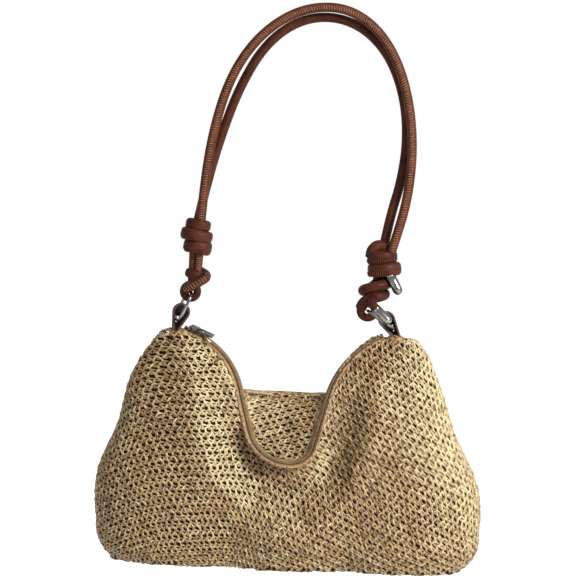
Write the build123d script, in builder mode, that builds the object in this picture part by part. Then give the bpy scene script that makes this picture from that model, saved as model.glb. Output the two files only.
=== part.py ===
"""Crocheted straw hobo bag with a zipped slouching mouth and a doubled, knotted leather cord strap.

Frame: millimetres, +Z up, +X along the bag's width, the front faces -Y. The origin is the point
under the top of the strap where a hook or a shoulder carries the bag, which hangs below it.
"""
from build123d import *
from math import atan2, cos, degrees, hypot, pi, radians, remainder, sin, tan
import os

os.makedirs("parts", exist_ok=True)

# ---- driving dimensions ---------------------------------------------------------------------
CORD = 8.4                 # diameter of the rolled leather cord
STRAND_Y = 4.6             # each strand lies this far in front of or behind the strap's mid-plane
WALL = 4.0                 # thickness of the crocheted straw wall
LINING_GAP = 0.4           # air between the straw wall and the lining
LINING = 0.8               # thickness of the lining cloth

POCKET_LEFT, POCKET_RIGHT = -80.0, 40.0      # patch pocket on the lining's back wall
POCKET_LOW, POCKET_HIGH = -455.0, -385.0

FLOOR_Z = -480.0           # underside of the bag
BASE_TOP = -474.0          # the base panel's sewn edge

# Horizontal ovals of the bag's three masses: height, centre x, centre y, half width, half depth
LEFT_LOBE = [
    (FLOOR_Z, -113, 0, 52, 38), (-468, -113, 0, 64, 47), (-440, -112, 0, 74, 52),
    (-405, -115, 0, 74, 51), (-358, -113, 0, 59, 41), (-312, -117, 0, 43, 24),
    (-285, -119, 0, 24, 12), (-276, -120, 0, 14, 8),
]
RIGHT_LOBE = [
    (FLOOR_Z, 74, 0, 52, 38), (-468, 74, 0, 65, 47), (-440, 72, 0, 75, 52),
    (-408, 75, 0, 74, 51), (-358, 66, 0, 60, 41), (-308, 64, 0, 43, 24),
    (-281, 67, 0, 25, 12), (-272, 69, 0, 12, 8),
]
MIDDLE = [
    (FLOOR_Z, -20, 0, 68, 43), (-468, -20, 0, 80, 50), (-440, -20, 0, 84, 54),
    (-400, -21, 3, 76, 48), (-362, -24, 7, 60, 32), (-331, -26, 10, 46, 8),
]

# The zip runs in one tilted plane, from the left peak down into the sagging mouth and up again.
ZIP_TOP = -276.0
ZIP_TILT = 20.0            # degrees the zip's plane leans out at the bottom
ZIP_LEAN = 43.0            # degrees the tape is turned from square to that plane, towards the mouth
LEFT_ARC_CENTRE = (-136.0, -68.5)
LEFT_ARC_R = 72.0
LEFT_ARC_START = 75.0      # degrees on the left arc where the zip begins
LEFT_ARC_END = 15.0
LEFT_RUN = 41.0
SAG_LEFT_R = 37.2
SAG_RIGHT_R = 20.5
RIGHT_RUN = 47.6
RIGHT_RISE = 76.0          # degrees the right run climbs at
RIGHT_ARC_R = 85.0
RIGHT_ARC_SIZE = 51.5
TAPE_HALF = 7.0
TAPE_T = 0.8
COIL_HALF = 1.7
COIL_T = 1.6
PARTING = 0.6              # gap between the two closed halves of the zip, where the slider's web runs
BINDING_W = 3.5            # plain cloth binding along each panel's mouth edge
BINDING_T = 1.4
SLOT_T = 9.0               # opening cut through the straw for the tape and its bindings
STOP_L = 2.4               # length along the zip of each end stop
STOP_UP = 0.6              # the stops stand this far proud of the coils

# Slider and pull
SLIDER_ANGLE = 67.5        # degrees on the left arc where the closed slider rests
SLIDER_L = 12.0
SLIDER_W = 8.0
SLIDER_CLEAR = 0.25
PLATE_T = 1.0
WEB_T = 0.4                # web between the slider's two plates, running in the parting
BRIDGE_L = 9.0
BRIDGE_W = 2.4
BRIDGE_H = 3.2
BRIDGE_BAR = 1.2           # thickness of the bridge's arch
BRIDGE_FOOT = 1.0          # the bridge's feet sink this far into the top plate
PULL_BAR_R = 0.7
PULL_BAR_X = 1.5           # the pull's cross bar, ahead of the slider's middle
PULL_BAR_UP = 1.1          # and above the slider's top plate
PULL_L = 16.0
PULL_W = 6.0
PULL_T = 1.3
ARM_CLEAR = 0.4            # between the bridge and each of the pull's arms
PULL_PLATE_X = 7.0         # where the pull's two arms widen into its plate
PULL_DROP = 4.0            # degrees the resting pull dips towards the tape

# Rings: rounded rectangles of round bar, one through each rope loop and leather tab
RING_L = 31.0
RING_D = 28.0
RING_BAR_R = 1.8
RING_CORNER = 8.2          # of the bar's centre line
# centre (x, z), long direction upwards, and degrees turned about it
LEFT_RING = ((-118.7, -254.2), (0.408, 0.913), 12)
RIGHT_RING = ((55.3, -259.4), (-0.841, 0.541), 4)
LOOP_MAJOR = 5.9           # rope loop round the ring's upper bar
LOOP_MINOR = 3.2
LOOP_UP = 0.3              # loop centre above the bar's, so that the bar hangs low in the loop

# Leather tabs: teardrop loops of strip leather, foot (x, z, radius) and round end (x, z, radius)
TAB_W = 11.0
TAB_T = 2.0
STEM_L = 12.0              # the strip's two ends, sewn down inside the peak
LEFT_TAB = ((-125.2, -275.5, 4.2), (-121.0, -259.6, 7.8), 12)
RIGHT_TAB = ((71.7, -274.9, 4.1), (60.5, -258.7, 7.5), 3)

# Knots: each wrap of cord as (x, z, radius, height, tilt in degrees)
KNOT_EDGE = 0.42           # share of a wrap's height that its rounded edge takes
KNOTS = {
    "left_upper_knot": [(-107.2, -182.0, 10.6, 10.0, 4), (-110.1, -191.4, 13.9, 11.0, 5),
                        (-109.6, -202.0, 13.2, 11.5, 8)],
    "left_lower_knot": [(-110.0, -225.4, 9.6, 9.5, 20), (-107.2, -231.6, 10.0, 9.5, -24)],
    "right_upper_knot": [(50.6, -196.2, 8.4, 9.0, -24), (55.0, -203.3, 13.2, 11.5, -3),
                         (56.9, -213.8, 15.0, 12.0, -6)],
    "right_lower_knot": [(49.4, -229.3, 9.6, 10.5, -8), (46.4, -237.6, 8.8, 8.5, -18)],
}
NECK_R = 3.4               # cord pulled tight between two knots
NECKS = {
    "left_neck": [((-112.2, 1, -205), (-111.4, 1, -224)), ((-105.9, -1, -205), (-105.6, -1, -226))],
    "right_neck": [((51.0, 1, -216), (49.8, 1, -228))],
}

# End caps on the four rope ends: from the knot outwards, start and end (x, y, z)
CAP_R = 4.7
CAP_BORE_R = 3.7
CAP_BORE = 9.0
CAP_DOME = 0.8             # share of the cap's radius that its rounded end takes
TAIL_R = 3.6
TAIL_SHORT = 0.3           # the rope end stops this far short of the bore's bottom
TAIL_OUT = 6.0             # straight cord before its cap, after leaving the knot
CAPS = {
    "left_upper_cap": ("left_upper_knot", (-113.5, 10.0, -205.0), (-113.0, 15.0, -221.5)),
    "left_lower_cap": ("left_lower_knot", (-108.5, 10.5, -229.0), (-108.5, 27.0, -228.0)),
    "right_upper_cap": ("right_upper_knot", (62.0, -8.0, -219.0), (70.5, -10.0, -234.0)),
    "right_lower_cap": ("right_lower_knot", (50.0, -22.0, -248.5), (63.5, -24.5, -260.5)),
}

# Strap strands, corner points (x, z) from the left knot over the top to the right knot
OUTER_ROUTE = [
    (-106.6, -186), (-104.6, -146), (-98.6, -99), (-87.2, -56), (-69.5, -24), (-45.5, -0.5),
    (-17.5, 12.6), (14, 13), (41, -3), (61, -32), (73.2, -71), (77.4, -112), (74.4, -152),
    (66.4, -185), (61, -203),
]
INNER_ROUTE = [
    (-110.6, -187), (-104.2, -152), (-92.2, -104), (-77.2, -59.5), (-56.8, -22), (-29, 0.6),
    (2, 6.2), (31, -3.6), (54, -27.5), (68, -62), (72.4, -100), (68.6, -137), (59.4, -171),
    (54.4, -203),
]


def oval_solid(stations, inset):
    """One rounded mass of the bag, lofted through its ovals, all faces moved in by inset."""
    with BuildPart() as mass:
        last = len(stations) - 1
        for index, (z, x, y, half_w, half_d) in enumerate(stations):
            level = z + inset if index == 0 else z - inset if index == last else z
            with BuildSketch(Plane.XY.offset(level)):
                with Locations((x, y)):
                    Ellipse(half_w - inset, half_d - inset)
        loft()
    return mass.part


def bag_solid(inset):
    """The whole bag as one filled shape: two peaked lobes and the sagging middle."""
    with BuildPart() as filled:
        add(oval_solid(MIDDLE, inset))
        add(oval_solid(LEFT_LOBE, inset))
        add(oval_solid(RIGHT_LOBE, inset))
    return filled.part


# ---- the zip's path, all arcs and straight runs in one tilted plane ------------------------------
zip_normal = Vector(0, -cos(radians(ZIP_TILT)), sin(radians(ZIP_TILT)))
zip_plane = Plane(origin=(0, 0, ZIP_TOP), x_dir=(1, 0, 0), z_dir=zip_normal)

with BuildLine(zip_plane) as zip_line:
    left_arc = CenterArc(LEFT_ARC_CENTRE, LEFT_ARC_R, LEFT_ARC_START, LEFT_ARC_END - LEFT_ARC_START)
    left_run = PolarLine(left_arc @ 1, LEFT_RUN, direction=left_arc % 1)
    sag_left = JernArc(left_run @ 1, left_run % 1, SAG_LEFT_R, 90 - LEFT_ARC_END)
    sag_right = JernArc(sag_left @ 1, sag_left % 1, SAG_RIGHT_R, RIGHT_RISE)
    right_run = PolarLine(sag_right @ 1, RIGHT_RUN, direction=sag_right % 1)
    right_arc = JernArc(right_run @ 1, right_run % 1, RIGHT_ARC_R, -RIGHT_ARC_SIZE)
zip_wire = zip_line.wire()
print("zip length", round(zip_wire.length, 1))


def cross_plane(path, where):
    """Plane square to the zip's path; local x runs from the front tape to the back, y off the tape."""
    along = (path % where).normalized()
    inward = zip_normal.cross(along)
    width = inward * sin(radians(ZIP_LEAN)) - zip_normal * cos(radians(ZIP_LEAN))
    return Plane(origin=path @ where, x_dir=width, z_dir=along)


def zip_band(left, right, low, high, path=None):
    """A band swept along the zip: left to right across it, low to high off its surface."""
    path = path or zip_wire
    with BuildPart() as band:
        with BuildSketch(cross_plane(path, 0)):
            with Locations(((left + right) / 2, (low + high) / 2)):
                Rectangle(right - left, high - low)
        sweep(path=path)
    return band.part


# ---- bag walls -----------------------------------------------------------------------------------
band_half = TAPE_HALF + BINDING_W
slot = zip_band(-band_half, band_half, -SLOT_T / 2, SLOT_T / 2)

with BuildPart() as mouth:
    with BuildSketch(zip_plane):
        with BuildLine():
            add(zip_plane.to_local_coords(zip_wire))
            start = zip_plane.to_local_coords(zip_wire @ 0)
            end = zip_plane.to_local_coords(zip_wire @ 1)
            Polyline((start.X, start.Y), (start.X, 60), (end.X, 60), (end.X, end.Y))
        make_face()
    extrude(amount=120, both=True)

with BuildPart() as front_region:
    with Locations((0, -60, -380)):
        Box(600, 120, 400)
    add(mouth.part, mode=Mode.SUBTRACT)

with BuildPart() as base_region:
    with Locations((0, 0, (FLOOR_Z + BASE_TOP) / 2)):
        Box(600, 300, BASE_TOP - FLOOR_Z)


def tab_plane(foot, turn):
    """The tab's own plane, turned in degrees about the vertical through its foot."""
    along = cos(radians(turn))
    back = sin(radians(turn))
    return Plane(origin=(foot[0], 0, foot[1]), x_dir=(along, back, 0), z_dir=(back, -along, 0))


def tab_outline(foot, top, turn, inset):
    """Filled teardrop in the tab's plane, swept to the tab's width."""
    with BuildPart() as drop:
        with BuildSketch(tab_plane(foot, turn)):
            with BuildLine():
                for x, z, radius in (foot, top):
                    CenterArc((x - foot[0], z - foot[1]), radius - inset, 0, 360)
            make_hull()
        extrude(amount=TAB_W / 2, both=True)
    return drop.part


def stem_solid(foot, turn):
    """The strip's two ends, one against the other, running down into the peak."""
    with BuildPart() as stem:
        with BuildSketch(tab_plane(foot, turn)):
            with Locations((0, -STEM_L / 2)):
                Rectangle(2 * TAB_T, STEM_L)
        extrude(amount=TAB_W / 2, both=True)
    return stem.part


def tab_solid(foot, top, turn):
    """A leather strip looped into a teardrop, with its two ends together in the stem below."""
    with BuildPart() as tab:
        add(tab_outline(foot, top, turn, 0))
        add(stem_solid(foot, turn))
        add(tab_outline(foot, top, turn, TAB_T), mode=Mode.SUBTRACT)
    return tab.part


def tab_seat(foot, top, turn):
    """The room that a tab takes up in the straw."""
    with BuildPart() as seat:
        add(tab_outline(foot, top, turn, 0))
        add(stem_solid(foot, turn))
    return seat.part


with BuildPart() as straw:
    add(bag_solid(0))
    add(bag_solid(WALL), mode=Mode.SUBTRACT)
    add(tab_seat(*LEFT_TAB), mode=Mode.SUBTRACT)
    add(tab_seat(*RIGHT_TAB), mode=Mode.SUBTRACT)

with BuildPart() as base_panel:
    add(straw.part)
    add(base_region.part, mode=Mode.INTERSECT)

with BuildPart() as front_panel:
    add(straw.part)
    add(front_region.part, mode=Mode.INTERSECT)
    add(base_region.part, mode=Mode.SUBTRACT)
    add(slot, mode=Mode.SUBTRACT)

with BuildPart() as back_cut:
    add(straw.part)
    add(front_region.part, mode=Mode.SUBTRACT)
    add(base_region.part, mode=Mode.SUBTRACT)
    add(slot, mode=Mode.SUBTRACT)

with BuildPart() as back_panel:
    add(back_cut.solids().sort_by(SortBy.VOLUME)[-1])

with BuildPart() as left_tab:
    add(tab_solid(*LEFT_TAB))

with BuildPart() as right_tab:
    add(tab_solid(*RIGHT_TAB))

# ---- lining, patch pocket and bindings -------------------------------------------------------------
lining_face = WALL + LINING_GAP
with BuildPart() as lining:
    add(bag_solid(lining_face))
    add(bag_solid(lining_face + LINING), mode=Mode.SUBTRACT)
    add(slot, mode=Mode.SUBTRACT)
    add(tab_seat(*LEFT_TAB), mode=Mode.SUBTRACT)
    add(tab_seat(*RIGHT_TAB), mode=Mode.SUBTRACT)

with BuildPart() as inner_pocket:
    add(bag_solid(lining_face + LINING))
    add(bag_solid(lining_face + 2 * LINING), mode=Mode.SUBTRACT)
    with Locations(((POCKET_LEFT + POCKET_RIGHT) / 2, 50, (POCKET_LOW + POCKET_HIGH) / 2)):
        Box(POCKET_RIGHT - POCKET_LEFT, 80, POCKET_HIGH - POCKET_LOW, mode=Mode.INTERSECT)

with BuildPart() as front_binding:
    add(zip_band(-band_half, -TAPE_HALF, -BINDING_T / 2, BINDING_T / 2))

with BuildPart() as back_binding:
    add(zip_band(TAPE_HALF, band_half, -BINDING_T / 2, BINDING_T / 2))

# ---- zip ---------------------------------------------------------------------------------------
coil_low = TAPE_T
coil_high = TAPE_T + COIL_T


def stop_solid(where):
    """A metal stop clamped across both coils, on the short stretch of zip that starts there."""
    share = STOP_L / zip_wire.length
    stretch = zip_wire.trim(where, where + share)
    return zip_band(-COIL_HALF, COIL_HALF, coil_low, coil_high + STOP_UP, stretch)


with BuildPart() as top_stop:
    add(stop_solid(0))

with BuildPart() as bottom_stop:
    add(stop_solid(1 - STOP_L / zip_wire.length))

with BuildPart() as front_zip_tape:
    add(zip_band(-TAPE_HALF, -PARTING / 2, 0, TAPE_T))

with BuildPart() as back_zip_tape:
    add(zip_band(PARTING / 2, TAPE_HALF, 0, TAPE_T))

with BuildPart() as front_coil:
    add(zip_band(-COIL_HALF, -PARTING / 2, coil_low, coil_high))
    add(top_stop.part, mode=Mode.SUBTRACT)
    add(bottom_stop.part, mode=Mode.SUBTRACT)

with BuildPart() as back_coil:
    add(zip_band(PARTING / 2, COIL_HALF, coil_low, coil_high))
    add(top_stop.part, mode=Mode.SUBTRACT)
    add(bottom_stop.part, mode=Mode.SUBTRACT)

# ---- slider and pull -----------------------------------------------------------------------------
half_turn = degrees(SLIDER_L / 2 / LEFT_ARC_R)
with BuildLine(zip_plane) as slider_line:
    CenterArc(LEFT_ARC_CENTRE, LEFT_ARC_R, SLIDER_ANGLE + half_turn, -2 * half_turn)
slider_path = slider_line.wire()
across = cross_plane(slider_path, 0.5)
along_up = Plane(origin=across.origin, x_dir=across.z_dir, z_dir=-across.x_dir)
plate_low = coil_high + SLIDER_CLEAR
plate_high = plate_low + PLATE_T
flange_in = COIL_HALF + SLIDER_CLEAR
flange_low = TAPE_T + SLIDER_CLEAR

with BuildPart() as zip_slider:
    add(zip_band(-SLIDER_W / 2, SLIDER_W / 2, plate_low, plate_high, slider_path))
    add(zip_band(-SLIDER_W / 2, -flange_in, flange_low, plate_low, slider_path))
    add(zip_band(flange_in, SLIDER_W / 2, flange_low, plate_low, slider_path))
    add(zip_band(-WEB_T / 2, WEB_T / 2, -SLIDER_CLEAR - PLATE_T, plate_low, slider_path))
    add(zip_band(-SLIDER_W / 2, SLIDER_W / 2, -SLIDER_CLEAR - PLATE_T, -SLIDER_CLEAR, slider_path))
    with BuildSketch(along_up):
        with Locations((0, plate_high + BRIDGE_H / 2 - BRIDGE_FOOT / 2)):
            RectangleRounded(BRIDGE_L, BRIDGE_H + BRIDGE_FOOT, BRIDGE_BAR)
            RectangleRounded(BRIDGE_L - 2 * BRIDGE_BAR, BRIDGE_H + BRIDGE_FOOT - 2 * BRIDGE_BAR, BRIDGE_BAR / 2,
                             mode=Mode.SUBTRACT)
    extrude(amount=BRIDGE_W / 2, both=True)

pull_pivot = along_up.from_local_coords(Vector(PULL_BAR_X, plate_high + PULL_BAR_UP, 0))
pull_side = Plane(origin=pull_pivot, x_dir=along_up.x_dir, z_dir=along_up.z_dir).rotated((0, 0, -PULL_DROP))
pull_flat = Plane(origin=pull_pivot, x_dir=pull_side.x_dir, z_dir=pull_side.y_dir)

with BuildPart() as zip_pull:
    with BuildSketch(pull_flat):
        with Locations((PULL_L / 2, 0)):
            Rectangle(PULL_L, PULL_W)
        with Locations((PULL_PLATE_X / 2, 0)):
            Rectangle(PULL_PLATE_X, BRIDGE_W + 2 * ARM_CLEAR, mode=Mode.SUBTRACT)
    extrude(amount=PULL_T / 2, both=True)
    with BuildSketch(pull_side):
        Circle(PULL_BAR_R)
    extrude(amount=PULL_W / 2, both=True)


# ---- rings and rope loops -----------------------------------------------------------------------
def ring_plane(ring):
    """The ring's own plane: local x along its length, upwards, and local y along its bars."""
    (x, z), (up_x, up_z), turn = ring
    along = Vector(up_x, 0, up_z)
    square = Vector(-up_z, 0, up_x)
    face = square * cos(radians(turn)) - Vector(0, 1, 0) * sin(radians(turn))
    return Plane(origin=(x, 0, z), x_dir=along, z_dir=face)


def ring_solid(ring):
    """Round bar bent to a rounded rectangle."""
    length = RING_L - 2 * RING_BAR_R
    depth = RING_D - 2 * RING_BAR_R
    with BuildPart() as bar:
        with BuildSketch(ring_plane(ring), mode=Mode.PRIVATE) as outline:
            RectangleRounded(length, depth, RING_CORNER)
        path = outline.sketch.face().outer_wire()
        with BuildSketch(Plane(origin=path @ 0, z_dir=path % 0)):
            Circle(RING_BAR_R)
        sweep(path=path)
    return bar.part


def upper_bar(ring):
    """Middle of the ring's upper bar."""
    return ring_plane(ring).from_local_coords(Vector(RING_L / 2 - RING_BAR_R, 0, 0))


def lower_bar(ring):
    """Middle of the ring's lower bar."""
    return ring_plane(ring).from_local_coords(Vector(RING_BAR_R - RING_L / 2, 0, 0))


with BuildPart() as left_ring:
    add(ring_solid(LEFT_RING))

with BuildPart() as right_ring:
    add(ring_solid(RIGHT_RING))

with BuildPart() as left_ring_loop:
    with Locations(Location(upper_bar(LEFT_RING) + Vector(0, 0, LOOP_UP), (90, 0, 0))):
        Torus(LOOP_MAJOR, LOOP_MINOR)

with BuildPart() as right_ring_loop:
    with Locations(Location(upper_bar(RIGHT_RING) + Vector(0, 0, LOOP_UP), (90, 0, 0))):
        Torus(LOOP_MAJOR, LOOP_MINOR)


# ---- knots, necks and end caps ----------------------------------------------------------------------
def tube(start, end, radius):
    """A straight round cord from start to end."""
    run = Vector(*end) - Vector(*start)
    with BuildPart() as straight:
        with BuildSketch(Plane(origin=start, z_dir=run)):
            Circle(radius)
        extrude(amount=run.length)
    return straight.part


def cap_solid(start, end, bore):
    """A round metal cap with a domed end, bored for the cord where bore is not zero."""
    run = Vector(*end) - Vector(*start)
    with BuildPart() as cap:
        Cylinder(CAP_R, run.length, align=(Align.CENTER, Align.CENTER, Align.MIN))
        fillet(cap.faces().sort_by(Axis.Z)[-1].edges(), CAP_R * CAP_DOME)
        if bore:
            Cylinder(CAP_BORE_R, bore, align=(Align.CENTER, Align.CENTER, Align.MIN), mode=Mode.SUBTRACT)
    return Plane(origin=start, z_dir=run).location * cap.part


def wrap_solid(radius, height):
    """One turn of cord round the knot: a disc with rounded edges."""
    with BuildPart() as disc:
        Cylinder(radius, height)
        fillet(disc.edges().filter_by(GeomType.CIRCLE), KNOT_EDGE * height)
    return disc.part


def knot_solid(name):
    """The knot's wraps, with each rope end coming out of them towards its cap."""
    with BuildPart() as knot:
        for x, z, radius, height, tilt in KNOTS[name]:
            add(Location((x, 0, z), (0, tilt, 0)) * wrap_solid(radius, height))
        for owner, start, end in CAPS.values():
            if owner == name:
                out = (Vector(*end) - Vector(*start)).normalized()
                bend = Vector(*start) - out * TAIL_OUT
                x, z = KNOTS[name][-1][:2]
                add(cap_solid(start, end, 0), mode=Mode.SUBTRACT)
                add(tube((x, 0, z), bend, TAIL_R))
                with Locations(bend):
                    Sphere(TAIL_R)
                add(tube(bend, Vector(*start) + out * (CAP_BORE - TAIL_SHORT), TAIL_R))
    return knot.part


with BuildPart() as left_upper_knot:
    add(knot_solid("left_upper_knot"))

with BuildPart() as left_lower_knot:
    add(knot_solid("left_lower_knot"))

with BuildPart() as right_upper_knot:
    add(knot_solid("right_upper_knot"))

with BuildPart() as right_lower_knot:
    add(knot_solid("right_lower_knot"))

with BuildPart() as left_neck:
    for start, end in NECKS["left_neck"]:
        add(tube(start, end, NECK_R))

with BuildPart() as right_neck:
    for start, end in NECKS["right_neck"]:
        add(tube(start, end, NECK_R))

with BuildPart() as left_upper_cap:
    add(cap_solid(*CAPS["left_upper_cap"][1:], CAP_BORE))

with BuildPart() as left_lower_cap:
    add(cap_solid(*CAPS["left_lower_cap"][1:], CAP_BORE))

with BuildPart() as right_upper_cap:
    add(cap_solid(*CAPS["right_upper_cap"][1:], CAP_BORE))

with BuildPart() as right_lower_cap:
    add(cap_solid(*CAPS["right_lower_cap"][1:], CAP_BORE))


# ---- strap strands ---------------------------------------------------------------------------------
def corner_radii(route):
    """Bend radius at each inner corner: as wide as the shorter of its two straight runs allows."""
    radii = []
    for before, here, after in zip(route, route[1:], route[2:]):
        run_in = hypot(here[0] - before[0], here[1] - before[1])
        run_out = hypot(after[0] - here[0], after[1] - here[1])
        turn = atan2(after[1] - here[1], after[0] - here[0]) - atan2(here[1] - before[1], here[0] - before[0])
        turn = abs(remainder(turn, 2 * pi))
        radii.append(0.45 * min(run_in, run_out) / tan(turn / 2))
    return radii


def strand_solid(name, route, y):
    """A leather cord laid along its route in a plane parallel to the bag's width."""
    radii = corner_radii(route)
    with BuildPart() as cord:
        with BuildLine() as line:
            FilletPolyline(*[(x, y, z) for x, z in route], radius=radii)
        path = line.wire()
        with BuildSketch(Plane(origin=path @ 0, z_dir=path % 0)):
            Circle(CORD / 2)
        sweep(path=path)
    section = pi * (CORD / 2) ** 2
    print(name, "length", round(path.length, 1), "radii", [round(r) for r in radii],
          "volume over section times length", round(cord.part.volume / (section * path.length), 4))
    return cord.part


with BuildPart() as outer_strand:
    add(strand_solid("outer strand", OUTER_ROUTE, -STRAND_Y))

with BuildPart() as inner_strand:
    add(strand_solid("inner strand", INNER_ROUTE, STRAND_Y))

# ---- named parts out to STEP -------------------------------------------------------------------------
pieces = {
    "base_panel": base_panel, "front_panel": front_panel, "back_panel": back_panel,
    "lining": lining, "inner_pocket": inner_pocket,
    "front_binding": front_binding, "back_binding": back_binding,
    "front_zip_tape": front_zip_tape, "back_zip_tape": back_zip_tape,
    "front_coil": front_coil, "back_coil": back_coil,
    "top_stop": top_stop, "bottom_stop": bottom_stop,
    "zip_slider": zip_slider, "zip_pull": zip_pull,
    "left_tab": left_tab, "right_tab": right_tab,
    "left_ring": left_ring, "right_ring": right_ring,
    "left_ring_loop": left_ring_loop, "right_ring_loop": right_ring_loop,
    "left_upper_knot": left_upper_knot, "left_lower_knot": left_lower_knot,
    "left_neck": left_neck, "right_upper_knot": right_upper_knot,
    "right_neck": right_neck, "right_lower_knot": right_lower_knot,
    "left_upper_cap": left_upper_cap, "left_lower_cap": left_lower_cap,
    "right_upper_cap": right_upper_cap, "right_lower_cap": right_lower_cap,
    "outer_strand": outer_strand, "inner_strand": inner_strand,
}
for name, piece in pieces.items():
    print(name, len(piece.part.solids()), round(piece.part.volume, 1))
    piece.part.label = name
    export_step(piece.part, "parts/" + name + ".step")
for name, ring in (("left ring", LEFT_RING), ("right ring", RIGHT_RING)):
    print(name, "bars", upper_bar(ring), lower_bar(ring))
print("zip arc centre", zip_plane.from_local_coords(Vector(*LEFT_ARC_CENTRE, 0)))
print("pull pivot", pull_pivot, "across", across.x_dir)
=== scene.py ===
from math import cos, pi, radians, sin

import bpy
import numpy as np
from mathutils import Matrix, Vector


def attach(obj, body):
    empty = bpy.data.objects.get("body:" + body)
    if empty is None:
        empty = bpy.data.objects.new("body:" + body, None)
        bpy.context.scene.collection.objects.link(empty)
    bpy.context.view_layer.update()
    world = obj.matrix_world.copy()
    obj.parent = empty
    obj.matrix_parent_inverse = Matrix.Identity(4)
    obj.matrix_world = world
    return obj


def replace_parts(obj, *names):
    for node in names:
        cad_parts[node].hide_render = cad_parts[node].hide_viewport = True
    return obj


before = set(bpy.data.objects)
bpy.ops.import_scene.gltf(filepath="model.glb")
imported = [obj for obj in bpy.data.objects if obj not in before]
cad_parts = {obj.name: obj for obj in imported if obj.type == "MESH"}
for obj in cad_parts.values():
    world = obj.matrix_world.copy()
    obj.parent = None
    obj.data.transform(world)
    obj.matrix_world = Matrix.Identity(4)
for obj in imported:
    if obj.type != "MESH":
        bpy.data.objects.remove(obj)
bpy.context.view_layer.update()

MM = 0.001
rng = np.random.default_rng(7)

# ---- camera: the front, from a little above, with the bag leaning a little to the right -------------
VIEW_DISTANCE = 2.4
VIEW_HEIGHT = 3.0          # degrees above the horizon
VIEW_ROLL = 2.5            # degrees
VIEW_WIDTH = 0.508         # width of what the camera sees at the bag
camera_data = bpy.data.cameras.new("camera")
camera = bpy.data.objects.new("camera", camera_data)
bpy.context.scene.collection.objects.link(camera)
aim = Vector((-0.0300, 0.0, -0.2348))
back = Vector((0, -cos(radians(VIEW_HEIGHT)), sin(radians(VIEW_HEIGHT))))
camera_right = Vector((cos(radians(VIEW_ROLL)), 0, sin(radians(VIEW_ROLL))))
camera_up = back.cross(camera_right)
camera.matrix_world = Matrix((camera_right, camera_up, back)).transposed().to_4x4()
camera.location = aim + back * VIEW_DISTANCE
camera_data.lens = 36 * VIEW_DISTANCE / VIEW_WIDTH
camera_data.clip_start, camera_data.clip_end = 0.05, 30
bpy.context.scene.camera = camera


# ---- materials ---------------------------------------------------------------------------------
def material_of(name, dark, light, roughness, patch, grain, relief,
                low=0.35, high=0.65, metallic=0.0, shine=0.5):
    """Colour that wanders from dark to light in patches of one scale, with fine relief at another."""
    made = bpy.data.materials.new(name)
    made.use_nodes = True
    nodes, links = made.node_tree.nodes, made.node_tree.links
    shader = nodes["Principled BSDF"]
    shader.inputs["Roughness"].default_value = roughness
    shader.inputs["Metallic"].default_value = metallic
    shader.inputs["Specular IOR Level"].default_value = shine
    place = nodes.new("ShaderNodeTexCoord")
    patches = nodes.new("ShaderNodeTexNoise")
    patches.inputs["Scale"].default_value = patch
    patches.inputs["Detail"].default_value = 6
    ramp = nodes.new("ShaderNodeValToRGB")
    ramp.color_ramp.elements[0].color = (*dark, 1)
    ramp.color_ramp.elements[0].position = low
    ramp.color_ramp.elements[1].color = (*light, 1)
    ramp.color_ramp.elements[1].position = high
    noise = nodes.new("ShaderNodeTexNoise")
    noise.inputs["Scale"].default_value = grain
    noise.inputs["Detail"].default_value = 4
    bump = nodes.new("ShaderNodeBump")
    bump.inputs["Distance"].default_value = relief
    bump.inputs["Strength"].default_value = 0.6
    links.new(place.outputs["Object"], patches.inputs["Vector"])
    links.new(patches.outputs["Fac"], ramp.inputs["Fac"])
    links.new(ramp.outputs["Color"], shader.inputs["Base Color"])
    links.new(place.outputs["Object"], noise.inputs["Vector"])
    links.new(noise.outputs["Fac"], bump.inputs["Height"])
    links.new(bump.outputs["Normal"], shader.inputs["Normal"])
    return made


# colours dark and light, roughness, scale of the patches, scale and depth of the relief
straw = material_of(
    "straw", (0.036, 0.015, 0.0045), (0.228, 0.134, 0.049), 0.42, 460, 2400, 0.0004, 0.38, 0.60, shine=0.4)
lining = material_of(
    "lining", (0.022, 0.011, 0.005), (0.034, 0.018, 0.008), 0.95, 300, 1500, 0.0003, shine=0.1)
binding = material_of(
    "binding", (0.11, 0.062, 0.026), (0.17, 0.105, 0.048), 0.6, 90, 2600, 0.0002, shine=0.3)
tape = material_of(
    "zip_tape", (0.014, 0.008, 0.004), (0.024, 0.014, 0.006), 0.8, 200, 2600, 0.0003, shine=0.1)
coil = material_of(
    "zip_coil", (0.085, 0.05, 0.022), (0.13, 0.082, 0.037), 0.5, 200, 2600, 0.0003, shine=0.3)
leather = material_of(
    "leather", (0.017, 0.0040, 0.0018), (0.038, 0.0100, 0.0046), 0.48, 70, 1700, 0.00015, shine=0.06)
cord_leather = material_of(
    "cord_leather", (0.032, 0.0082, 0.0034), (0.056, 0.0160, 0.0068), 0.48, 60, 1700, 0.00015, shine=0.06)
# near-black tab leather: painted shade, standing for the shade inside the tab's loop
tab_leather_painted_shade = material_of(
    "tab_leather_painted_shade", (0.0045, 0.0019, 0.0016), (0.010, 0.0042, 0.0034), 0.45, 120, 1500, 0.00015, shine=0.15)
edge_leather = material_of(
    "edge_leather", (0.022, 0.0095, 0.0072), (0.042, 0.019, 0.015), 0.5, 200, 1500, 0.0001, shine=0.2)
thread = material_of(
    "thread", (0.075, 0.035, 0.018), (0.15, 0.078, 0.041), 0.6, 400, 3000, 0.0001, shine=0.15)
metal = material_of(
    "metal", (0.08, 0.076, 0.072), (0.21, 0.20, 0.185), 0.2, 160, 900, 0.00003, metallic=1.0)


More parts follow.
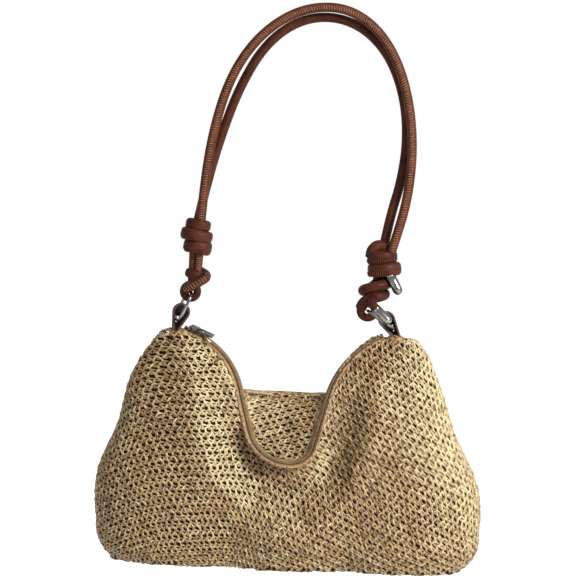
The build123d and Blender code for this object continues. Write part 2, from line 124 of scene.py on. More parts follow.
def mix_painted_light_and_tone(made, pale):
    """Mixes the material's colour with a pale one by the mesh's own painted-light value, which holds a
    painted highlight, a painted shade and random tone.
    """
    nodes, links = made.node_tree.nodes, made.node_tree.links
    shader = nodes["Principled BSDF"]
    warm = shader.inputs["Base Color"].links[0].from_socket
    value = nodes.new("ShaderNodeAttribute")
    value.attribute_name = "painted_light_and_tone"
    mix = nodes.new("ShaderNodeMix")
    mix.data_type = "RGBA"
    mix.inputs["B"].default_value = (*pale, 1)
    links.new(value.outputs["Fac"], mix.inputs["Factor"])
    links.new(warm, mix.inputs["A"])
    links.new(mix.outputs["Result"], shader.inputs["Base Color"])


# the straw is painted paler by its painted highlight, darker by its painted shade, and varied by random tone
mix_painted_light_and_tone(straw, (0.35, 0.29, 0.155))


# ---- pieces ------------------------------------------------------------------------------------
def unit(vectors):
    """Vectors of length 1."""
    return vectors / np.maximum(np.linalg.norm(vectors, axis=-1, keepdims=True), 1e-9)


def piece_from(name, shape, material, body):
    """A mesh piece from points in millimetres and faces, riding on a body."""
    verts, faces = shape
    mesh = bpy.data.meshes.new(name)
    faces = faces.tolist() if hasattr(faces, "tolist") else faces
    mesh.from_pydata((np.asarray(verts) * MM).tolist(), [], faces)
    mesh.polygons.foreach_set("use_smooth", [True] * len(mesh.polygons))
    mesh.materials.append(material)
    made = bpy.data.objects.new(name, mesh)
    bpy.context.scene.collection.objects.link(made)
    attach(made, body)
    return made


def joined(shapes):
    """Several shapes as one."""
    verts, faces, offset = [], [], 0
    for more_verts, more_faces in shapes:
        verts.append(np.asarray(more_verts))
        faces += [[corner + offset for corner in face] for face in more_faces]
        offset += len(more_verts)
    return np.concatenate(verts), faces


def skin(rings, closed=False):
    """A skin over a row of equal rings (ring, corner, 3). An open row gets a flat cap at each end."""
    count, corners = rings.shape[:2]
    steps = count if closed else count - 1
    step, corner = np.meshgrid(np.arange(steps), np.arange(corners), indexing="ij")
    after, beside = (step + 1) % count, (corner + 1) % corners
    quads = np.stack([step * corners + corner, step * corners + beside,
                      after * corners + beside, after * corners + corner], -1).reshape(-1, 4).tolist()
    if not closed:
        quads += [list(range(corners))[::-1], list(range((count - 1) * corners, count * corners))]
    return rings.reshape(-1, 3), quads


def tubes(lines, across, off, radius_across, radius_off, sides=5):
    """Round tubes along many lines at once, with open ends, which sink under their neighbours.

    lines, across and off are (tube, point, 3): centre points and two directions square to the line.
    """
    count, points = lines.shape[:2]
    angles = np.linspace(0, 2 * pi, sides, endpoint=False)
    ring = (lines[:, :, None] + across[:, :, None] * (np.cos(angles) * radius_across)[None, None, :, None]
            + off[:, :, None] * (np.sin(angles) * radius_off)[None, None, :, None])
    tube, step, side = np.meshgrid(np.arange(count), np.arange(points - 1), np.arange(sides), indexing="ij")
    beside = (side + 1) % sides
    base = (tube * points + step) * sides
    quads = np.stack([base + side, base + beside, base + sides + beside, base + sides + side], -1)
    return ring.reshape(-1, 3), quads.reshape(-1, 4)


def smooth(points, count):
    """Evenly spaced points on a smooth line through the given ones."""
    points = np.array(points, float)
    pad = np.concatenate([2 * points[:1] - points[1:2], points, 2 * points[-1:] - points[-2:-1]])
    spans = len(pad) - 3
    t = np.linspace(0, spans, 30 * spans + 1)
    index = np.minimum(t.astype(int), spans - 1)
    f = (t - index)[:, None]
    a, b, c, d = (pad[index + k] for k in range(4))
    line = 0.5 * (2 * b + (c - a) * f + (2 * a - 5 * b + 4 * c - d) * f**2 + (3 * b - a - 3 * c + d) * f**3)
    run = np.concatenate([[0], np.cumsum(np.linalg.norm(np.diff(line, axis=0), axis=1))])
    at = np.linspace(0, run[-1], count)
    return np.stack([np.interp(at, run, line[:, k]) for k in range(3)], -1)


def rope(points, radius, count=60, sides=18):
    """A round cord through the given points."""
    line = smooth(points, count)
    heading = unit(np.gradient(line, axis=0))
    across = [unit(np.cross(heading[0], [0.3, -1, 0.2]))]
    for ahead in heading[1:]:
        across.append(unit(across[-1] - ahead * np.dot(across[-1], ahead)))
    across = np.array(across)
    angles = np.linspace(0, 2 * pi, sides, endpoint=False)[None, :, None]
    off = np.cross(heading, across)
    return skin(line[:, None] + radius * (across[:, None] * np.cos(angles) + off[:, None] * np.sin(angles)))


def ladder(line, radius, spread, pitch=2.2, thick=0.36):
    """Short stitches across the front of a cord, evenly spaced along it."""
    run = np.concatenate([[0], np.cumsum(np.linalg.norm(np.diff(line, axis=0), axis=1))])
    at = np.arange(pitch / 2, run[-1], pitch)
    points = np.stack([np.interp(at, run, line[:, k]) for k in range(3)], -1)
    ahead = np.stack([np.interp(at + 0.5, run, line[:, k]) for k in range(3)], -1)
    heading = unit(ahead - points)
    front = np.array([0, -1.0, 0])
    across = unit(np.cross(heading, front))
    front = np.cross(across, heading)
    sweep = np.radians(np.linspace(-spread, spread, 5))[None, :, None]
    off = unit(front[:, None] * np.cos(sweep) + across[:, None] * np.sin(sweep))
    slant = np.linspace(-0.5, 0.5, 5)[None, :, None] * heading[:, None]
    lines = points[:, None] + off * (radius + 0.05) + slant
    return tubes(lines, np.repeat(heading[:, None], 5, axis=1), off, thick, thick * 0.8)


# ---- the strap's strands: cords over the same corner points as the CAD routes --------------------------
CORD = 8.4
STRAND_Y = 4.6
OUTER_ROUTE = [
    (-106.6, -186), (-104.6, -146), (-98.6, -99), (-87.2, -56), (-69.5, -24), (-45.5, -0.5),
    (-17.5, 12.6), (14, 13), (41, -3), (61, -32), (73.2, -71), (77.4, -112), (74.4, -152),
    (66.4, -185), (61, -203),
]
INNER_ROUTE = [
    (-110.6, -187), (-104.2, -152), (-92.2, -104), (-77.2, -59.5), (-56.8, -22), (-29, 0.6),
    (2, 6.2), (31, -3.6), (54, -27.5), (68, -62), (72.4, -100), (68.6, -137), (59.4, -171),
    (54.4, -203),
]


def strand(name, route, y, material):
    """One leather cord of the strap; returns it and its centre line."""
    curve = bpy.data.curves.new(name, "CURVE")
    curve.dimensions = "3D"
    spline = curve.splines.new("NURBS")
    spline.points.add(len(route) - 1)
    for point, (x, z) in zip(spline.points, route):
        point.co = (x * MM, y * MM, z * MM, 1)
    spline.order_u = 3
    spline.use_endpoint_u = True
    spline.resolution_u = 12
    made = bpy.data.objects.new(name, curve)
    bpy.context.scene.collection.objects.link(made)
    centre = bpy.data.meshes.new_from_object(made)
    line = np.array([v.co for v in centre.vertices]) / MM
    curve.bevel_depth = CORD / 2 * MM
    curve.bevel_resolution = 8
    curve.materials.append(material)
    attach(made, "strap")
    return made, line


outer_cord, outer_line = strand("outer_cord", OUTER_ROUTE, -STRAND_Y, cord_leather)
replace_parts(outer_cord, "outer_strand")
inner_cord, _ = strand("inner_cord", INNER_ROUTE, STRAND_Y, leather)
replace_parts(inner_cord, "inner_strand")
piece_from("cord_stitches", ladder(outer_line, CORD / 2, 24, thick=0.42), thread, "strap")


# ---- knots, necks, rope loops ------------------------------------------------------------------------
SQUEEZE = 2.8              # a wrap's section: 2 is an oval, more is squarer
WRAP_THICK = 4.6


def wrap(x, z, radius, height, tilt, y=0.0, thick=WRAP_THICK, taper=0.0):
    """One turn of cord squeezed round a knot.

    It slopes down to the right by tilt, and it is taller on the left by taper.
    """
    turn = np.linspace(0, 2 * pi, 80, endpoint=False)[:, None, None]
    section = np.linspace(0, 2 * pi, 24, endpoint=False)[None, :, None]
    swell = np.sign(np.cos(section)) * np.abs(np.cos(section)) ** (2 / SQUEEZE)
    up = np.sign(np.sin(section)) * np.abs(np.sin(section)) ** (2 / SQUEEZE)
    radial = radius - thick + thick * swell
    lift = height / 2 * (1 - taper * np.cos(turn)) * up
    slope = sin(radians(tilt))
    place = np.concatenate([
        x + np.cos(turn) * radial + slope * lift,
        y + np.sin(turn) * radial,
        z - slope * np.cos(turn) * radial + lift,
    ], -1)
    return skin(place, closed=True)


def core(x, z, radius, height):
    """The cord inside a knot: a closed round body between its wraps."""
    turn = np.linspace(0, 2 * pi, 32, endpoint=False)[None, :, None]
    rise = np.linspace(-0.98, 0.98, 12)[:, None, None]
    reach = radius * np.sqrt(1 - rise**2)
    place = np.concatenate([
        x + reach * np.cos(turn), reach * np.sin(turn), z + height / 2 * rise + 0 * turn,
    ], -1)
    return skin(place)


def ridges(x, z, radius, height, tilt, first, last, count):
    """The seam of a squeezed cord where it shows: short ridges along a wrap's lower edge."""
    turn = np.radians(np.linspace(first, last, count))[:, None]
    section = np.radians(np.linspace(-8, -66, 6))[None, :]
    radial = radius - WRAP_THICK + WRAP_THICK * np.cos(section) ** 0.71 + 0.35
    lift = -height / 2 * np.abs(np.sin(section)) ** 0.71
    turn = turn + 0.05 * np.linspace(0, 1, 6)[None, :] * 6 / radius
    slope = sin(radians(tilt))
    lines = np.stack([
        x + np.cos(turn) * radial, np.sin(turn) * radial, z - slope * np.cos(turn) * radial + lift,
    ], -1)
    heading = unit(np.gradient(lines, axis=1))
    none = 0 * turn * section
    out = unit(np.stack([np.cos(turn) + none, np.sin(turn) + none, -0.6 + none], -1))
    across = unit(np.cross(heading, out))
    return tubes(lines, across, np.cross(across, heading), 0.55, 0.7, 6)


LOOP_HOLE = 2.7            # radius of a rope loop's hole
LOOP_WIDTH = 1.2           # a rope loop's width, in its rope's own


def rope_loop(x, z, minor):
    """A rope loop round a ring's upper bar, its hole running front to back."""
    turn = np.linspace(0, 2 * pi, 64, endpoint=False)[:, None, None]
    section = np.linspace(0, 2 * pi, 20, endpoint=False)[None, :, None]
    reach = LOOP_HOLE + minor + minor * np.cos(section)
    place = np.concatenate([
        x + np.cos(turn) * reach, minor * LOOP_WIDTH * np.sin(section) + 0 * turn, z + np.sin(turn) * reach,
    ], -1)
    return skin(place, closed=True)


left_upper = [
    (-108.6, -182.6, 11.2, 10.4, 6), (-109.6, -191.6, 14.2, 10.6, 9), (-108.4, -201.8, 12.6, 12.0, 9),
]
left_lower_front = [
    (-104.5, 6.5, -224.0), (-100.2, 1.5, -226.5), (-100.6, -5.0, -229.2), (-105.6, -8.2, -232.4),
    (-111.6, -7.4, -236.2), (-116.6, -3.6, -239.6), (-118.4, 1.0, -242.0),
]
right_upper = [(54.6, -204.0, 13.4, 11.4, -5), (57.0, -214.6, 14.9, 11.8, -6)]
right_band = [
    (56.5, 6.0, -224.5), (60.0, 0.0, -226.8), (55.5, -7.0, -228.3), (48.0, -8.6, -230.4),
    (41.5, -5.0, -232.8), (39.6, 2.0, -234.4), (45.0, 7.5, -234.6), (53.5, 6.5, -235.0),
    (58.0, 0.0, -236.6), (54.0, -6.0, -238.2), (46.8, -7.6, -240.2), (40.4, -5.2, -244.2),
    (37.6, -1.0, -249.4),
]
knots = {
    "left_upper_knot": [rope([(-109.5, 2, -200), (-110, 7, -203), (-110, 11, -209)], 3.9, 20),
                        wrap(*left_upper[0], taper=0.05), wrap(*left_upper[1], taper=0.06),
                        wrap(*left_upper[2], taper=-0.05), core(-109.3, -193, 9.5, 30)],
    "left_lower_knot": [wrap(-109.8, -226.2, 8.6, 8.6, 14, y=1.0, thick=4.2), core(-108.6, -230.5, 7.4, 17),
                        rope(left_lower_front, 4.3),
                        rope([(-109, 0, -228), (-108.5, 7, -229), (-108.5, 14, -229)], 3.9, 20)],
    "right_upper_knot": [wrap(*right_upper[0], taper=0.04), wrap(*right_upper[1], taper=-0.02),
                         rope([(62, 4, -203), (57, 2, -196.5), (50.6, -1.5, -194.2), (45.8, -2.5, -198.4),
                               (44.6, -1.0, -204.5)], 5.2),
                         core(56, -209, 10.5, 26),
                         rope([(56, -3, -210), (60, -7, -216), (63.2, -8.4, -221.5)], 3.9, 20)],
    "right_lower_knot": [rope([(50, 0, -236), (48, -12, -240), (47.5, -19, -245),
                               (52.5, -22.4, -250.7)], 3.9, 40),
                         rope(right_band, 5.0, 110), core(49.5, -232.5, 6.6, 18)],
}
for name, shapes in knots.items():
    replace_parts(piece_from(name + "_cord", joined(shapes), leather, "strap"), name)

necks = {
    "left_neck": [[(-112.2, 1.5, -203), (-112.2, 1.5, -214), (-112.0, 1.5, -226)],
                  [(-106.0, -1.5, -203), (-106.6, -1.5, -214), (-107.4, -1.5, -228)]],
    "right_neck": [[(51.5, 1, -216), (50.6, 1, -223), (50.2, 1, -230)]],
}
for name, lines in necks.items():
    shapes = [rope(line, 3.4, 24) for line in lines]
    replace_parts(piece_from(name + "_cord", joined(shapes), cord_leather, "strap"), name)

seams = [ridges(*left_upper[2], 200, 290, 12), ridges(*right_upper[0], 195, 285, 12),
         ridges(*right_upper[1], 195, 285, 13)]
# the seams take the lighter cord leather: a painted highlight along the ridges
piece_from("knot_seams", joined(seams), cord_leather, "strap")
stitches = [ladder(smooth(left_lower_front, 60)[16:52], 4.3, 34),
            ladder(smooth(necks["left_neck"][1], 24), 3.4, 40, 1.9)]
piece_from("knot_stitches", joined(stitches), thread, "strap")

# a loop's middle (x, z) and its rope's radius
LOOPS = {"left_ring_loop": (-113.11, -241.39, 3.4), "right_ring_loop": (43.78, -251.69, 3.6)}
for name, facts in LOOPS.items():
    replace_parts(piece_from(name + "_cord", rope_loop(*facts), leather, "strap"), name)


# ---- rings, caps, tabs ----------------------------------------------------------------------------------
RING_BAR = 1.35                              # radius of a ring's bar
RING_HALF_L, RING_HALF_W = 13.7, 12.2        # to the bar's middle
RING_CORNER = 8.2


def ring_shape(x, z, up_x, up_z, turn):
    """A slim bar bent to a rounded rectangle."""
    angles = np.radians(np.linspace(0, 90, 9))
    flat = []
    for quarter, (sx, sy) in enumerate([(1, 1), (-1, 1), (-1, -1), (1, -1)]):
        middle = np.array([sx * (RING_HALF_L - RING_CORNER), sy * (RING_HALF_W - RING_CORNER)])
        sweep = angles + quarter * pi / 2
        flat.append(middle + RING_CORNER * np.stack([np.cos(sweep), np.sin(sweep)], -1))
    flat = np.concatenate(flat)
    along = np.array([up_x, 0, up_z])
    bars = np.array([-up_z * sin(radians(turn)), cos(radians(turn)), up_x * sin(radians(turn))])
    normal = unit(np.cross(along, bars))
    line = np.array([x, 0, z]) + flat[:, :1] * along + flat[:, 1:] * bars
    ahead = unit(np.roll(line, -1, 0) - np.roll(line, 1, 0))
    out = np.cross(ahead, normal)
    section = np.linspace(0, 2 * pi, 12, endpoint=False)[None, :, None]
    around = out[:, None] * np.cos(section) + normal * np.sin(section)
    return skin(line[:, None] + RING_BAR * around, closed=True)


# a ring's middle (x, z), which way its length runs (x, z), degrees turned
RINGS = {"left_ring": (-118.7, -254.2, 0.408, 0.913, 12), "right_ring": (55.3, -259.4, -0.841, 0.541, 4)}
for name, facts in RINGS.items():
    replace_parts(piece_from(name + "_bar", ring_shape(*facts), metal, name), name)

# outline of a cap from its open end: distance along it, radius
CAP_OUTLINE = [
    (0, 3.9), (0, 4.3), (0.4, 4.5), (1.6, 4.5), (1.8, 4.2), (2.3, 4.2), (2.5, 4.4), (7.0, 4.4), (13.5, 4.4),
    (15.2, 4.2), (16.6, 3.6), (17.7, 2.7), (18.4, 1.5), (18.6, 0.3),
]
CAPS = {
    "left_upper_cap": ((-111.5, 10.0, -206.0), (-111.5, 15.0, -220.5)),
    "left_lower_cap": ((-108.5, 10.5, -229.0), (-108.5, 27.0, -228.0)),
    "right_upper_cap": ((61.6, -8.0, -218.6), (71.2, -10.0, -236.0)),
    "right_lower_cap": ((50.0, -22.0, -248.5), (63.5, -24.5, -260.5)),
}
for name, (start, end) in CAPS.items():
    start, end = np.array(start), np.array(end)
    along = unit(end - start)
    side = unit(np.cross(along, [0, 1, 0.3]))
    turn = np.linspace(0, 2 * pi, 28, endpoint=False)[None, :, None]
    outline = np.array(CAP_OUTLINE)
    outline[:, 0] *= np.linalg.norm(end - start) / outline[-1, 0]
    place = (start + along * outline[:, :1])[:, None] + outline[:, 1][:, None, None] * (
        side * np.cos(turn) + np.cross(along, side) * np.sin(turn))
    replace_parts(piece_from(name + "_metal", skin(place), metal, "strap"), name)


LEAF_TOP, LEAF_FOOT = 28, 14                 # points round a tab's top and round its foot


def leaf(foot, top, inset):
    """Points round a teardrop: two arcs and their tangents, the same number whatever the inset."""
    foot, top = np.array(foot), np.array(top)
    span = top[:2] - foot[:2]
    lean = np.arctan2(span[1], span[0])
    open_angle = np.arccos((foot[2] - top[2]) / np.hypot(*span))
    around_top = np.linspace(lean - open_angle, lean + open_angle, LEAF_TOP)
    around_foot = np.linspace(lean + open_angle, lean + 2 * pi - open_angle, LEAF_FOOT)
    top_points = top[:2] + (top[2] - inset) * np.stack([np.cos(around_top), np.sin(around_top)], -1)
    foot_points = foot[:2] + (foot[2] - inset) * np.stack([np.cos(around_foot), np.sin(around_foot)], -1)
    return np.concatenate([top_points, foot_points])


# foot and round end (x, z, radius), the eye's middle, degrees turned
TABS = {
    "left_tab": ((-126.0, -276.5, 2.7), (-121.0, -259.6, 7.8), (-124.3, -266.2), 12),
    "right_tab": ((71.8, -276.3, 2.7), (60.5, -258.7, 7.5), (66.6, -266.3), 3),
}
TAB_HALF = 5.5
EYE = 2.9
# section of a tab, out round its edge, in at the back and out through the eye:
# (inset from the outline, depth, share of the way from the outline to the eye)
TAB_SECTION = [
    (0.5, -TAB_HALF, 0), (0.0, -TAB_HALF + 0.5, 0), (0.0, -2.0, 0), (0.8, 2.0, 0), (1.8, TAB_HALF, 0),
    (1.8, TAB_HALF, 0.3), (1.8, 3.0, 0.8), (1.8, 0.5, 1), (1.9, -2.2, 0.6),
    (1.9, -TAB_HALF + 0.9, 0.12), (1.7, -TAB_HALF, 0),
]
for name, (foot, top, eye, turn) in TABS.items():
    cos_turn, sin_turn = cos(radians(turn)), sin(radians(turn))
    rings = []
    for inset, y, share in TAB_SECTION:
        flat = leaf(foot, top, inset)
        ray = flat - eye
        flat = flat + share * (eye + EYE * unit(ray) - flat)
        sideways_of_foot = flat[:, 0] - foot[0]
        x = foot[0] + sideways_of_foot * cos_turn - y * sin_turn
        rings.append(np.stack([x, y * cos_turn + sideways_of_foot * sin_turn, flat[:, 1]], -1))
    # the tab's body, the web across its loop included, takes the near-black leather painted with shade; its
    # front rim takes the edge leather
    strip = piece_from(name + "_strip", skin(np.array(rings), closed=True), tab_leather_painted_shade, "bag")
    strip.data.materials.append(edge_leather)
    for face in strip.data.polygons:
        if face.index // (LEAF_TOP + LEAF_FOOT) in (0, len(TAB_SECTION) - 1):
            face.material_index = 1
    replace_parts(strip, name)


# ---- the bag's shape: ovals at each height, wider at the bottom corners than the CAD's plain solid -----
# An oval: height, centre x and y, half width, half depth
LEFT_LOBE = [
    (-480, -113, 0, 60, 38), (-468, -113, 0, 70, 47), (-440, -112, 0, 77, 52),
    (-405, -115, 0, 74, 51), (-358, -113, 0, 59, 41), (-312, -117, 0, 43, 24),
    (-285, -119, 0, 24, 12), (-276, -120, 0, 14, 8), (-272.5, -120, 0, 3, 2),
]
RIGHT_LOBE = [
    (-480, 74, 0, 61, 38), (-468, 74, 0, 72, 47), (-440, 73, 0, 78, 52),
    (-408, 75, 0, 74, 51), (-358, 66, 0, 60, 41), (-308, 64, 0, 43, 24),
    (-281, 67, 0, 25, 12), (-272, 69, 0, 12, 8), (-269.5, 69, 0, 3, 2),
]
MIDDLE = [
    (-480, -20, 0, 68, 43), (-468, -20, 0, 80, 50), (-440, -20, 0, 84, 54),
    (-400, -21, 3, 76, 48), (-362, -24, 7, 60, 32), (-331, -26, 10, 46, 8),
    (-327, -26, 10, 40, 1),
]
FLOOR = -480.0
MID_X = -21.0
SADDLE = -328.0
BLEND = 5.0                # how softly the three masses run into each other
# Folds of the front wall: points (x, z) of the fold's line, its reach, and how far it stands out
FOLDS = [
    ([(-117, -290), (-109, -322), (-106, -350), (-101, -372), (-92, -393), (-80, -407),
      (-64, -425)], 16, 7.5),
    ([(-64, -425), (-36, -442), (-8, -449)], 15, 5.0),
    ([(-56, -380), (-40, -402), (-14, -412), (8, -402), (22, -376), (30, -345)], 19, -12.5),
    ([(52, -318), (50, -340), (47, -365), (35, -400), (21, -431), (2, -448)], 13, 5.0),
    ([(-150, -360), (-158, -410), (-140, -455)], 18, -2.0),
    ([(-66, -466), (-20, -470), (30, -466)], 14, -2.5),
]


def ovals_at(lobe, z):
    """Centre x, centre y, half width and half depth at each height, smoothly between stations."""
    table = np.array(lobe, float)
    knots = table[:, 0]
    slopes = np.gradient(table[:, 1:], knots, axis=0)
    index = np.clip(np.searchsorted(knots, z, side="right") - 1, 0, len(knots) - 2)
    step = knots[index + 1] - knots[index]
    t = np.clip((z - knots[index]) / step, 0, 1)[..., None]
    step = step[..., None]
    low, high = table[index, 1:], table[index + 1, 1:]
    in_low, in_high = slopes[index] * step, slopes[index + 1] * step
    return ((2 * t**3 - 3 * t**2 + 1) * low + (t**3 - 2 * t**2 + t) * in_low
            + (-2 * t**3 + 3 * t**2) * high + (t**3 - t**2) * in_high)


def fold_at(line, x, z):
    """Distance from a fold's line."""
    nearest = np.full(x.shape, 1e9)
    for (ax, az), (bx, bz) in zip(line[:-1], line[1:]):
        share = ((x - ax) * (bx - ax) + (z - az) * (bz - az)) / ((bx - ax) ** 2 + (bz - az) ** 2)
        share = np.clip(share, 0, 1)
        nearest = np.minimum(nearest, np.hypot(x - ax - share * (bx - ax), z - az - share * (bz - az)))
    return nearest


def depth(x, z, side):
    """How far the bag's wall stands from y = 0 at (x, z): side -1 is the front, 1 the back."""
    total = np.zeros(np.broadcast(x, z).shape)
    for lobe in (LEFT_LOBE, RIGHT_LOBE, MIDDLE):
        cx, cy, half_w, half_d = np.moveaxis(ovals_at(lobe, np.broadcast_to(z, total.shape)), -1, 0)
        inside = 1 - ((x - cx) / np.maximum(half_w, 0.5)) ** 2
        rise = np.where(inside > 0, half_d * np.sqrt(np.maximum(inside, 0)),
                        -40 * np.sqrt(np.maximum(-inside, 0)))
        gone = np.maximum(0, z - lobe[-1][0]) * 60
        total = total + np.exp(np.clip((rise + side * cy - gone) / BLEND, -60, 60))
    return BLEND * np.log(total + 1e-20)


def folds(x, z):
    """How far the front wall's folds lift it."""
    ridge, valley = np.zeros(x.shape), np.zeros(x.shape)
    for line, reach, out in FOLDS:
        lift = out * np.exp(-(fold_at(line, x, z) / reach) ** 2)
        ridge, valley = np.maximum(ridge, lift), np.minimum(valley, lift)
    return ridge + valley


def edge_x(z, lobe, sign):
    """Where a lobe ends sideways at each height."""
    oval = ovals_at(lobe, z)
    return oval[..., 0] + sign * oval[..., 2]


# ---- the zip's path ---------------------------------------------------------------------------------
ZIP_TOP, ZIP_TILT, ZIP_LEAN = -276.0, radians(20), radians(43)
FRONT_EDGE, BACK_EDGE = -5.0, 4.4       # where the front's and the back's bindings end, across the zip
# The first arc, in the zip's plane: its radius, its middle (x, up) and the heading it starts with
ZIP_FIRST_RADIUS, ZIP_FIRST_X, ZIP_FIRST_UP, ZIP_FIRST_ANGLE = 72, -136, -68.5, -15
# The path's legs: length, and turn in degrees
ZIP_LEGS = [
    (ZIP_FIRST_RADIUS * radians(60), -60), (41, 0), (37.2 * radians(75), 75), (20.5 * radians(76), 76),
    (47.6, 0), (85 * radians(51.5), -51.5),
]


ZIP_SAMPLES = 420
ZIP_STEP = 0.25


def zip_samples():
    """Points along the zip and three directions: along it, across it from front to back, and inwards."""
    start = radians(90 + ZIP_FIRST_ANGLE)
    px = ZIP_FIRST_X + ZIP_FIRST_RADIUS * cos(start)
    py = ZIP_FIRST_UP + ZIP_FIRST_RADIUS * sin(start)
    angle = radians(ZIP_FIRST_ANGLE)
    flat = [(px, py, angle)]
    for length, turn in ZIP_LEGS:
        parts = int(length / ZIP_STEP)
        for _ in range(parts):
            angle += radians(turn) / parts / 2
            px += cos(angle) * length / parts
            py += sin(angle) * length / parts
            angle += radians(turn) / parts / 2
            flat.append((px, py, angle))
    flat = np.array(flat)[np.linspace(0, len(flat) - 1, ZIP_SAMPLES).astype(int)]
    normal = np.array([0, -cos(ZIP_TILT), sin(ZIP_TILT)])
    rise = np.array([0, sin(ZIP_TILT), cos(ZIP_TILT)])
    place = np.array([0, 0, ZIP_TOP]) + flat[:, :1] * np.array([1.0, 0, 0]) + flat[:, 1:2] * rise
    along = np.cos(flat[:, 2:]) * np.array([1.0, 0, 0]) + np.sin(flat[:, 2:]) * rise
    inward = np.cross(normal, along)
    width = inward * sin(ZIP_LEAN) - normal * cos(ZIP_LEAN)
    return place, along, width, inward


zip_place, zip_along, zip_width, zip_in = zip_samples()
zip_up = np.cross(zip_along, zip_width)
# the band is drawn tighter up the right side
zip_width *= np.interp(np.arange(len(zip_width)), [250, 330], [1.0, 0.74])[:, None]


def past_edge(x, z, offset):
    """How far points (x, z) lie inside the zip's U, from the edge at that offset, and the nearest samples."""
    edge = zip_place + zip_width * offset
    near = np.empty(x.size, int)
    flat_x, flat_z = x.ravel(), z.ravel()
    for start in range(0, x.size, 4000):
        part = slice(start, start + 4000)
        gap = (flat_x[part, None] - edge[None, :, 0]) ** 2 + (flat_z[part, None] - edge[None, :, 2]) ** 2
        near[part] = gap.argmin(1)
    near = near.reshape(x.shape)
    inward = unit(zip_in[:, [0, 2]])[near]
    past = (x - edge[near, 0]) * inward[..., 0] + (z - edge[near, 2]) * inward[..., 1]
    return past, edge[near], inward


# ---- surfaces: grids over a run sideways (u) and upwards (v) ----------------------------------------------
LEVELS = np.concatenate([np.linspace(FLOOR, -466, 22), np.linspace(-464, -269.6, 120)])
profile = depth(np.full(LEVELS.shape, -113.0), LEVELS, 1)
RISE = np.concatenate([[0], np.cumsum(np.hypot(np.diff(LEVELS), np.clip(np.diff(profile), -4, 4)))])
U_GRID = np.arange(-240, 241, 1.6)
SPREAD_TOP, SPREAD_LOW = -350.0, -405.0     # below, the two halves' rows meet in the middle


def sideways(z, side):
    """x at each u of the grid at height z, and the range of u that lies on the bag."""
    x_at = np.full(U_GRID.shape, np.nan)
    limits = []
    share = np.clip((SPREAD_TOP - z) / (SPREAD_TOP - SPREAD_LOW), 0, 1)
    share = share * share * (3 - 2 * share)
    for lobe, sign, anchor_u in ((LEFT_LOBE, -1, -104.0), (RIGHT_LOBE, 1, 104.0)):
        level = np.array(z)
        outer = float(edge_x(level, lobe, sign))
        anchor = float(ovals_at(lobe, level)[0])
        inner = MID_X if z < SADDLE else float(edge_x(level, lobe, -sign))
        xs = (outer + inner) / 2 + (inner - outer) / 2 * np.sin(np.linspace(-pi / 2, pi / 2, 400))
        ys = np.maximum(depth(xs, np.full(xs.shape, z), side), 0)
        ys[0] = 0
        run = np.concatenate([[0], np.cumsum(np.hypot(np.diff(xs), np.diff(ys)))])
        at_anchor = np.interp((anchor - outer) * -sign, (xs - outer) * -sign, run)
        stretch = abs(anchor_u) / (run[-1] - at_anchor)
        if side < 0:
            stretch = 1 + (stretch - 1) * share
        elif z >= SADDLE:
            stretch = 1.0
        beyond = run - at_anchor
        u = anchor_u - sign * np.where(beyond > 0, beyond * stretch, beyond)
        order = np.argsort(u)
        mine = (U_GRID <= 0) if sign < 0 else (U_GRID > 0)
        x_at[mine] = np.interp(U_GRID[mine], u[order], xs[order])
        limits.append((u.min(), u.max()))
    return x_at, limits


class Wall:
    """A wall of the bag: maps (u, v) to points and outward normals."""

    def __init__(self, x, z, y, u_grid, rise, limits, side, zip_offset=None):
        """zip_offset bends the wall to meet that edge of the zip's band."""
        self.u_grid, self.rise, self.limits = u_grid, rise, limits
        self.past = np.full(x.shape, -99.0)
        self.inward = np.zeros(x.shape + (2,))
        if zip_offset is not None:
            self.past, edge, self.inward = past_edge(x, z, zip_offset)
            near = np.exp(-np.abs(self.past) / 13)
            y = y + np.clip(edge[..., 1] - self.y_at(edge, side), -16, 16) * near
        self.points = np.stack([x, y, z], -1)
        normal = np.cross(np.gradient(self.points, axis=1), np.gradient(self.points, axis=0)) * (-side)
        self.normals = unit(np.nan_to_num(normal))

    def y_at(self, edge, side):
        """The unbent wall's y at the edge's points."""
        return np.maximum(depth(edge[..., 0], edge[..., 2], side), -12) * side

    def read(self, grid, u, v):
        """A grid's values at (u, v)."""
        pitch = self.u_grid[1] - self.u_grid[0]
        column = np.clip((u - self.u_grid[0]) / pitch, 0, len(self.u_grid) - 1.001)
        row = np.clip(np.interp(v, self.rise, np.arange(len(self.rise))), 0, len(self.rise) - 1.001)
        down, right = row % 1, column % 1
        row, column = row.astype(int), column.astype(int)
        if grid.ndim == 3:
            down, right = down[..., None], right[..., None]
        return ((grid[row, column] * (1 - right) + grid[row, column + 1] * right) * (1 - down)
                + (grid[row + 1, column] * (1 - right) + grid[row + 1, column + 1] * right) * down)

    def on_bag(self, u, v, margin):
        """Whether (u, v) lies on the wall, at least margin inside its sides."""
        row = np.clip(np.interp(v, self.rise, np.arange(len(self.rise))), 0, len(self.rise) - 1).astype(int)
        low_left, high_left, low_right, high_right = np.moveaxis(self.limits[row], -1, 0)
        left = (u > low_left + margin) & (u <= high_left + 0.01)
        right = (u < high_right - margin) & (u > low_right)
        return np.where(u <= 0, left, right) & (v > 1) & (v < self.rise[-1] + 2)


def wrapped_wall(side, zip_offset=None):
    """A wall whose u runs along the cloth, outwards from the middle."""
    rows = [sideways(z, side) for z in LEVELS]
    x = np.array([row[0] for row in rows])
    limits = np.array([np.ravel(row[1]) for row in rows])
    z = np.repeat(LEVELS[:, None], len(U_GRID), axis=1)
    wall = np.maximum(depth(x, z, side), 0)
    if side < 0:
        wall = np.maximum(wall + folds(x, z) * np.clip(wall / 12, 0, 1), 0)
    return Wall(x, z, side * wall, U_GRID, RISE, limits, side, zip_offset)


FLAP_X = np.arange(-100, 62, 1.6)
FLAP_Z = np.concatenate([np.arange(-402, -336, 1.6), np.arange(-336, -327.1, 0.5)])


